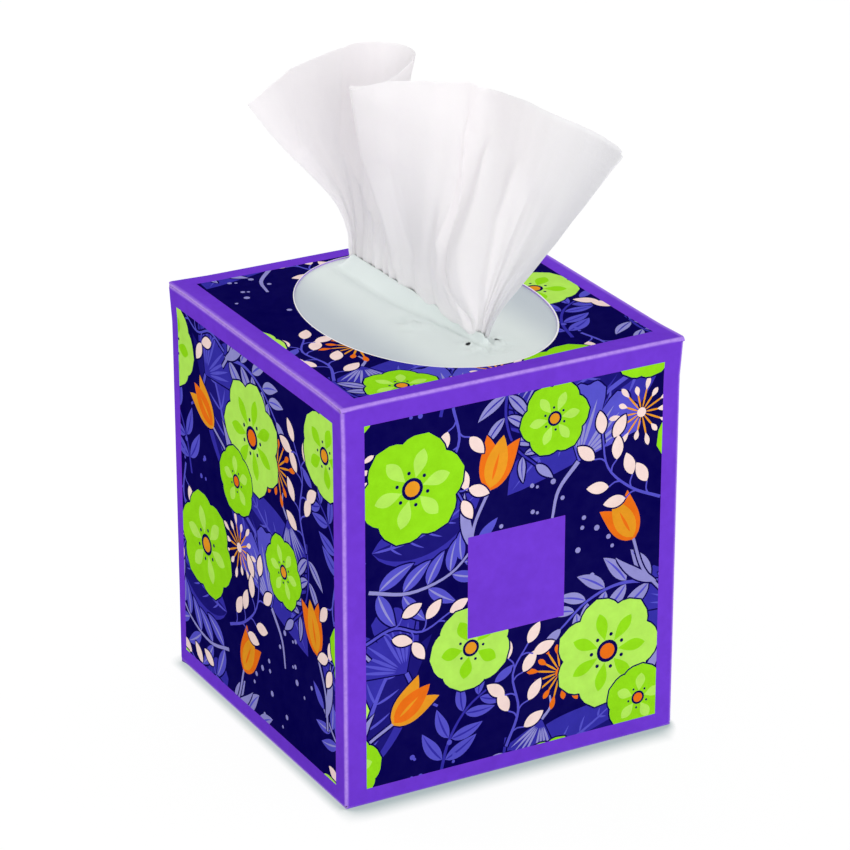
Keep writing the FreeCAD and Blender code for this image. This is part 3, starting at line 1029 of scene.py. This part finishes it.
# Creases: how far each stands out, how sharply, and its path as shares of the rise and distances
# across the sheet.
CREASES = [
    (-3.0, 4.4, (
        (0.03, 149.7), (0.1, 146.8), (0.2, 142.7), (0.28, 139.0), (0.5, 139.4),
        (0.66, 137.0), (0.8, 136.4), (0.92, 140.5), (1.0, 142.9),
    )),
    (1.5, 2.6, ((0.3, 134.0), (0.5, 135.0), (0.66, 132.5), (0.8, 131.5), (0.95, 136.5))),
    (2.3, 3.2, (
        (0.04, 154.0), (0.21, 148.5), (0.37, 146.0), (0.51, 145.6), (0.69, 144.5), (0.85, 146.0),
    )),
    (1.3, 2.0, (
        (0.04, 162.9), (0.21, 157.0), (0.37, 155.0), (0.51, 154.2), (0.69, 157.2), (0.82, 158.5),
    )),
    (-1.8, 5.0, ((0.12, 166.0), (0.39, 161.5), (0.5, 163.0), (0.62, 165.0), (0.75, 167.0))),
    (-0.9, 2.5, ((0.035, 158.5), (0.09, 153.5), (0.25, 149.5), (0.36, 149.0))),
    (1.9, 2.2, ((0.08, 97.0), (0.19, 96.4), (0.385, 97.6), (0.66, 95.3), (1.0, 97.6))),
    (-1.3, 7.0, ((0.14, 108.5), (0.3, 104.7), (0.43, 104.1), (0.54, 104.1), (0.7, 104.1))),
    (0.7, 5.0, ((0.15, 141.0), (0.22, 138.5), (0.34, 133.0), (0.44, 128.8), (0.6, 124.0))),
    (-2.2, 7.0, ((0.06, 13.0), (0.3, 10.0), (0.4, 12.5), (0.5, 20.6))),
    (2.2, 4.5, ((0.1, 62.0), (0.24, 55.0), (0.31, 45.0), (0.44, 32.9), (0.55, 29.0))),
    (0.9, 2.5, ((0.03, 125.8), (0.055, 107.6), (0.09, 91.7), (0.13, 80.0))),
    (0.7, 2.5, ((0.04, 129.0), (0.145, 117.6), (0.22, 114.0))),
    (-1.4, 5.0, ((0.62, 4.0), (0.71, 9.0), (0.83, 14.0), (1.0, 17.0))),
    (1.4, 3.5, ((0.5, 23.0), (0.6, 25.5), (0.8, 31.0), (1.0, 34.0))),
    (1.8, 3.0, ((0.05, 176.0), (0.15, 180.5), (0.28, 175.5), (0.4, 179.9), (0.56, 180.5))),
    (-1.2, 6.0, ((0.3, 170.0), (0.5, 172.5), (0.7, 175.0))),
]
SHEET_WIDTH = 210.0
RISE = 74.0
# Pleats: their mean width, the seed of their random widths and how rounded they are
WIDE_PLEATS = (15.5, 3, 0.85)
FINE_PLEATS = (6.4, 11, 1.0)
# The gap between the two plies low down, and how much more of it at the free edge
PLY_GAP = 0.1
PLY_MORE = 0.3
# How far the front and the back ply end below the free edge, at most
FRONT_DROP = 1.3
BACK_DROP = 0.3
COLUMNS = 330
RISE_ROWS = 104
TAIL_ROWS = 9


def spline(keys, values, places):
    """A natural cubic spline through the keys, at the given places."""
    n = len(keys)
    h = np.diff(keys)
    slope = np.diff(values, axis=0) / h[:, None]
    matrix = np.zeros((n, n))
    right = np.zeros((n, values.shape[1]))
    matrix[0, 0] = matrix[-1, -1] = 1.0
    for i in range(1, n - 1):
        matrix[i, i - 1 : i + 2] = (h[i - 1], 2 * (h[i - 1] + h[i]), h[i])
        right[i] = 6 * (slope[i] - slope[i - 1])
    curve = np.linalg.solve(matrix, right)
    at = np.clip(np.searchsorted(keys, places, side="right") - 1, 0, n - 2)
    t = (places - keys[at])[:, None]
    width = h[at][:, None]
    first = slope[at] - width * (2 * curve[at] + curve[at + 1]) / 6
    third = (curve[at + 1] - curve[at]) / (6 * width)
    return values[at] + first * t + curve[at] / 2 * t**2 + third * t**3


def sheet_form():
    """The free edge and the gathering at each column of the sheet."""
    table = np.array(GATHERS)
    place = np.outer(table[:, 0], ACROSS) * SHEET_WIDTH / 100
    place += np.outer(table[:, 1], BEHIND) * SHEET_WIDTH / 100
    place[:, 2] = table[:, 3] * RISE / 100
    keys = np.concatenate([[0.0], np.cumsum(np.linalg.norm(np.diff(place, axis=0), axis=1))])
    sway = table[:, 2] * SHEET_WIDTH / 100
    values = np.column_stack([place, table[:, 5] / 100, sway, table[:, 4] / 100])
    stations = np.linspace(0, keys[-1], COLUMNS)
    return stations, spline(keys, values, stations)


def macro_row(form, share):
    """A row of the sheet at a share of the rise, before its fine folds."""
    top, along, sway, neck = form[:, :3], form[:, 3], form[:, 4], form[:, 5]
    foot = np.outer(1 - along, SLIT_BACK) + np.outer(along, SLIT_FRONT)
    row = np.zeros((len(form), 3))
    if share < 0:
        row[:, :2] = foot
        row[:, 2] = FILM_BOTTOM + share * RISE
        return row
    spread = share * (1 - np.exp(-((share / neck) ** 2)))
    height = share / 0.27
    shift = sway * height * math.exp((1 - height * height) / 2)
    row[:, :2] = foot + (top[:, :2] - foot) * spread[:, None] + np.outer(shift, ACROSS[:2])
    row[:, 2] = FILM_BOTTOM + top[:, 2] * share
    return row


def grid_normals(grid):
    return unit(np.cross(np.gradient(grid, axis=1), np.gradient(grid, axis=0)))


def pleats(stations, period, seed, sharp):
    """Folds of uneven width along the sheet, from -1 to 1, with rounded crests."""
    maker = random.Random(seed)
    marks = [0.0]
    while marks[-1] < stations[-1] + period:
        marks.append(marks[-1] + period * maker.uniform(0.65, 1.4))
    phase = np.interp(stations, marks, np.arange(len(marks)))
    wave = np.cos(2 * math.pi * phase)
    maker = random.Random(seed + 1)
    sizes = [maker.uniform(0.55, 1.15) for _ in range(int(phase[-1]) + 3)]
    size = np.interp(phase, np.arange(len(sizes)), sizes)
    return np.sign(wave) * np.abs(wave) ** sharp * size


def creased(stations, stretch, share):
    """How far the creases move a row of the sheet, less where it is drawn together."""
    lift = np.zeros(len(stations))
    for size, width, path in CREASES:
        shares, places = zip(*path)
        low, high = shares[0], shares[-1]
        fade = smooth((share - low) / 0.06) * (1.0 if high >= 1.0 else smooth((high - share) / 0.14))
        if fade > 0:
            away = stations - np.interp(share, shares, places)
            lift += size * fade * np.exp(-(np.sqrt(away**2 + 0.36) - 0.6) / width)
    return lift * np.clip(1.4 * stretch, 0.12, 1.0)


def grid_faces(rows, columns):
    """The faces between neighbouring points of a grid."""
    starts = [r * columns + c for r in range(rows - 1) for c in range(columns - 1)]
    return [[a, a + 1, a + columns + 1, a + columns] for a in starts]


def build_tissue():
    stations, form = sheet_form()
    tail = (FILM_BOTTOM - CREST - 0.35) / RISE
    shares = [-tail * (1 - i / TAIL_ROWS) for i in range(TAIL_ROWS)]
    shares += [(i / RISE_ROWS) ** 1.15 for i in range(RISE_ROWS + 1)]
    base = np.array([macro_row(form, share) for share in shares])
    normals = grid_normals(base)
    wide = pleats(stations, *WIDE_PLEATS)
    fine = pleats(stations, *FINE_PLEATS)
    length = stations[-1]
    grid = base.copy()
    for r, share in enumerate(shares):
        v = max(share, 0.0)
        rise = smooth(v / 0.1)
        wide_size = 0.18 + 1.0 * rise * math.exp(-v / 0.25)
        fine_size = 0.06 + 0.4 * rise * math.exp(-v / 0.16)
        spacing = np.linalg.norm(np.gradient(base[r], axis=0), axis=1) / (stations[1] - stations[0])
        lift = wide * wide_size + fine * fine_size + creased(stations, spacing, v)
        soft = smooth(v / 0.25)
        up = v * RISE
        for c, s in enumerate(stations):
            crumple = 1.1 * ripple(s, up * 0.7, 0.0, 30.0, 3.1) + 0.3 * ripple(s, up, 0.0, 11.0, 7.7)
            crumple += 0.07 * ripple(s, up, 0.0, 4.5, 1.3)
            edge = min(s, length - s)
            crumple += 0.5 * math.exp(-edge / 5.0) * ripple(0.0, up, s / 300, 11.0, 5.0)
            grid[r, c] += normals[r, c] * (lift[c] + soft * crumple)
            grid[r, c, 2] += smooth((v - 0.8) / 0.2) * 0.35 * ripple(s, 0.0, 2.0, 7.0, 9.0)
            grid[r, c, 2] -= smooth((v - 0.9) / 0.1) * 0.9 * max(0.0, (s - length + 4.5) / 4.5) ** 2
    gap = np.array([PLY_GAP + PLY_MORE * smooth(share / 0.9) for share in shares])
    apart = grid_normals(grid) * gap[:, None, None] / 2
    front, back = grid + apart, grid - apart
    near = smooth((stations / length - 0.72) / 0.12)
    for r, share in enumerate(shares):
        upper = smooth((share - 0.55) / 0.45)
        front[r, :, 2] -= FRONT_DROP * near * upper
        back[r, :, 2] -= BACK_DROP * (1 - near) * upper
    rows = len(shares)
    points = np.concatenate([front.reshape(-1, 3), back.reshape(-1, 3)])
    faces = grid_faces(rows, COLUMNS)
    faces += [[i + rows * COLUMNS for i in reversed(face)] for face in faces]
    tissue = mesh_object("tissue_sheet", points, faces, [tissue_material()])
    add_attribute(tissue, "sheet_across", np.tile(stations, rows * 2))
    add_attribute(tissue, "sheet_along", np.tile(np.repeat(np.array(shares) * RISE, COLUMNS), 2))
    return tissue


# Film

# Small bumps and dents near the slit: their place, reach and height
PUCKERS = [
    ((-7.4, -8.5), 1.5, 1.7),
    ((-7.8, -3.6), 2.2, -1.3),
    ((-9.8, -10.5), 2.0, -0.7),
    ((-4.6, -12.0), 2.0, 0.8),
    ((0.5, -34.2), 1.3, 0.8),
    ((3.5, -34.6), 1.3, 0.9),
    ((6.5, -33.2), 1.3, 0.8),
]
TEARS = [(-1.7, -30.6), (7.4, -31.3)]
TEAR_RADIUS = 0.8
# Half the film's thickness and half the slit's width
HALF_FILM = 0.025
HALF_SLIT = 0.3
# How far the film reaches beyond the opening, and the radius of its corners
SIDE_MARGIN = 7.0
END_MARGIN = 3.5
FILM_CORNER = 4
# Distances of the rows of points round the slit
SLIT_ROWS = (0.0, 0.25, 0.6, 1.1, 1.8, 2.8, 4.2, 6.0)


def slit_place(x, y):
    """Distance from the slit's line, and how far along it from back to front."""
    offset = np.array((x, y)) - SLIT_BACK
    along = float(offset @ SLIT_AHEAD)
    past = max(-along, along - SLIT_LENGTH, 0.0)
    return math.hypot(float(offset @ SLIT_SIDE), past), along / SLIT_LENGTH


def rim_share(x, y):
    """From 0 at the middle of the opening to 1 just past its rim."""
    x0, y0, rx, ry = OPENING
    return ((x - x0) / (rx + 3)) ** 2 + ((y - y0) / (ry + 1.5)) ** 2


def bell(distance, reach):
    return math.exp(-((distance / reach) ** 2))


def film_height(x, y):
    """How far the film stands up: a skirt round the tissue, a trough at its foot and puckers."""
    distance, along = slit_place(x, y)
    ends = smooth((along + 0.03) / 0.06) * smooth((1.05 - along) / 0.07)
    skirt = 1.5 + 3.0 * smooth((0.9 - along) / 0.6)
    lip = 2.8 * bell(distance, 0.6 * skirt) - 0.9 * bell(distance - 1.25 * skirt, 0.4 * skirt)
    lip += 1.2 * bell(distance, 10.0) + 0.35 * ripple(0.0, y, 3.0, 5.0, 6.0) * bell(distance, 4.0)
    pucker = sum(size * bell(math.dist((x, y), at), reach) for at, reach, size in PUCKERS)
    angle = math.atan2(y - SLIT_FRONT[1], x - SLIT_FRONT[0])
    rays = 0.3 * math.cos(angle * 9 + 1.2) * bell(math.dist((x, y), SLIT_FRONT) - 5, 4)
    free = smooth((1.0 - rim_share(x, y)) / 0.25)
    slack = 0.35 * ripple(x, y, 0.0, 24.0, 2.2) + 0.12 * ripple(x, y, 0.0, 8.0, 4.0)
    return free * (lip * ends + pucker + rays + slack)


def slit_outline(extra):
    """The slit's outline on the film, at a distance from it."""
    gap = HALF_SLIT + extra
    points = []
    for start, end, sign in ((SLIT_BACK, SLIT_FRONT, 1), (SLIT_FRONT, SLIT_BACK, -1)):
        points += [start + sign * (SLIT_RUN * i / 90 + SLIT_SIDE * gap) for i in range(91)]
        for i in range(1, 8):
            angle = sign * QUARTER - math.pi * i / 8
            points.append(end + (SLIT_AHEAD * math.cos(angle) + SLIT_SIDE * math.sin(angle)) * gap)
    return [(float(x), float(y)) for x, y in points]


def build_film():
    x0, y0, rx, ry = OPENING
    low = (x0 - rx - SIDE_MARGIN, y0 - ry - END_MARGIN)
    high = (x0 + rx + SIDE_MARGIN, y0 + ry + END_MARGIN)
    left, near = low[0] + FILM_CORNER, low[1] + FILM_CORNER
    right, far = high[0] - FILM_CORNER, high[1] - FILM_CORNER
    outline = []
    for cx, cy, turn in ((right, far, 0), (left, far, 90), (left, near, 180), (right, near, 270)):
        outline += [polar((cx, cy), turn + 15 * i, FILM_CORNER) for i in range(7)]
    slits = [slit_outline(extra) for extra in SLIT_ROWS]
    tears = [disc(tear, TEAR_RADIUS, 14, 0.7) for tear in TEARS]
    columns = range(int((high[0] - low[0]) / FILM_SPACING) + 2)
    rows = range(int((high[1] - low[1]) / FILM_SPACING) + 2)
    grid = [
        (low[0] + i * FILM_SPACING + 0.4 * (j % 2), low[1] + j * FILM_SPACING)
        for i, j in product(columns, rows)
    ]
    loose = [point for point in grid if slit_place(*point)[0] > 3.0]
    flat, triangles = cut_up([closed(polygon) for polygon in [outline] + slits + tears], loose)
    middles = flat[triangles].mean(axis=1)
    kept = inside(outline, middles)
    for hole in [slits[0]] + tears:
        kept &= ~inside(hole, middles)
    used, faces = used_points(flat, triangles[kept])
    level = np.full(len(used), 0.5 * (FILM_TOP + FILM_BOTTOM))
    placed = settle(np.column_stack([used, level]))
    placed[:, 2] += [film_height(x, y) for x, y in used.tolist()]
    thickness = np.array((0, 0, HALF_FILM))
    both = faces + [[i + len(placed) for i in reversed(face)] for face in faces]
    both += [[b, a, a + len(placed), b + len(placed)] for a, b in boundary_edges(faces)]
    shell = np.concatenate([placed + thickness, placed - thickness])
    film = mesh_object("film_skin", shell, both, [film_material()])
    # Painted shade: the film is greyed towards the left and right ends of the opening.
    sides_painted_shade = smooth((np.abs(placed[:, 0] - x0) / rx - 0.35) / 0.5)
    add_attribute(film, "sides_painted_shade", np.tile(sides_painted_shade, 2))
    return film


# Surroundings

FLOOR_HALF = 2500.0
# Every lamp: its name, its place and its aim in metres, its size and its power in watts
LAMPS = (
    ("key", (-0.2, -1.7, 0.5), (0, 0, 0.1), 1.0, 7.1),
    ("behind", (-0.3, 1.5, 0.75), (0, 0, 0.15), 1.2, 6.5),
)
# How bright the sky is at the horizon and overhead
SKY = (1.0, 0.64)
CAMERA_PLACE = (-0.511086, -0.931309, 0.543766)
CAMERA_LENS = 165.82
# The camera's direction: its turn about the upright axis and its fall below level
CAMERA_TURN = math.radians(28.81)
CAMERA_FALL = math.radians(23.205)


def build_floor():
    """A plain white sweep that keeps the object's shadow."""
    places = np.linspace(-FLOOR_HALF, FLOOR_HALF, 25)
    points = [(x, y, 0.0) for y in places for x in places]
    g = Graph("white_floor")
    g.surface(linear(236, 236, 236), 0.9, 0.1)
    # The shadow close to the box: darker and shorter in front of it than at its left
    axes = g.add("ShaderNodeSeparateXYZ", {"Vector": g.place}).outputs
    front = g.fit(g.math("SUBTRACT", axes["X"], axes["Y"]), 0.0, 1.0, -0.004, 0.004)
    reach = g.fit(front, 0.0041, 0.0092, 0.0, 1.0)
    reach = g.math("MULTIPLY", reach, g.fit(axes["X"], 1.0, 0.25, 0.05, 0.056))
    near = g.add("ShaderNodeAmbientOcclusion", {"Distance": reach}, samples=16).outputs["AO"]
    darkest = g.mix(front, linear(192, 202, 201), linear(172, 186, 186))
    shade = g.mix(g.fit(near, 0.0, 1.0, 0.58, 1.0), darkest, WHITE)
    light = g.add("ShaderNodeEmission", {"Color": shade, "Strength": 0.955})
    path = g.add("ShaderNodeLightPath").outputs
    seen = g.math("MAXIMUM", path["Is Camera Ray"], path["Is Glossy Ray"])
    seen = g.math("MAXIMUM", seen, path["Is Transmission Ray"])
    none = g.add("ShaderNodeBsdfTransparent", {"Color": (0.0, 0.0, 0.0, 1.0)})
    plain = g.shader.outputs[0]
    dim = g.add("ShaderNodeMixShader", {0: 0.93, 1: plain, 2: none.outputs[0]})
    both = g.add("ShaderNodeAddShader", {0: dim.outputs[0], 1: light.outputs[0]})
    g.use(g.add("ShaderNodeMixShader", {0: seen, 1: plain, 2: both.outputs[0]}))
    floor = mesh_object("floor", points, grid_faces(len(places), len(places)), [g.material])


def aimed(name, data, location, direction):
    """A lamp or camera at its place, looking in a direction."""
    item = bpy.data.objects.new(name, data)
    item.location = location
    item.rotation_euler = Vector(direction).to_track_quat("-Z", "Y").to_euler()
    bpy.context.scene.collection.objects.link(item)
    return item


def area_light(name, location, target, size, power):
    data = bpy.data.lights.new(name, "AREA")
    data.shape = "DISK"
    data.size = size
    data.energy = power
    aimed(name, data, location, Vector(target) - Vector(location))


def light_scene():
    """A white background, a sky that is dimmer overhead, and two lamps."""
    world = bpy.data.worlds.new("studio")
    bpy.context.scene.world = world
    world.use_nodes = True
    tree = world.node_tree
    background = tree.nodes["Background"]
    place = add_node(tree, "ShaderNodeTexCoord").outputs["Generated"]
    height = add_node(tree, "ShaderNodeSeparateXYZ", {0: place}).outputs["Z"]
    inputs = {"Value": height, "To Min": SKY[0], "To Max": SKY[1]}
    level = add_node(tree, "ShaderNodeMapRange", inputs)
    put(tree, background.inputs["Color"], WHITE)
    put(tree, background.inputs["Strength"], level.outputs["Result"])
    white = add_node(tree, "ShaderNodeBackground", {"Strength": 1.0})
    seen = add_node(tree, "ShaderNodeLightPath").outputs["Is Camera Ray"]
    inputs = {0: seen, 1: background.outputs[0], 2: white.outputs[0]}
    mixed = add_node(tree, "ShaderNodeMixShader", inputs)
    put(tree, tree.nodes["World Output"].inputs[0], mixed.outputs[0])
    for lamp in LAMPS:
        area_light(*lamp)


def make_camera():
    data = bpy.data.cameras.new("camera")
    data.sensor_width = 36.0
    data.lens = CAMERA_LENS
    data.clip_start = 0.05
    data.clip_end = 20.0
    level = math.cos(CAMERA_FALL)
    ahead = (level * math.sin(CAMERA_TURN), level * math.cos(CAMERA_TURN), -math.sin(CAMERA_FALL))
    bpy.context.scene.camera = aimed("camera", data, CAMERA_PLACE, ahead)


carton = build_carton()
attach(carton, "root")
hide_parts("carton")

film = build_film()
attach(film, "root")
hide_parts("film_window")

tissue = build_tissue()
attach(tissue, "root")
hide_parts("pulled_tissue")

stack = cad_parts["tissue_stack"]
stack.data.materials.clear()
stack.data.materials.append(stack_material())

build_floor()
light_scene()
make_camera()
bpy.context.scene.view_settings.view_transform = "Standard"
bpy.context.scene.cycles.max_bounces = 16
bpy.context.scene.cycles.diffuse_bounces = 10
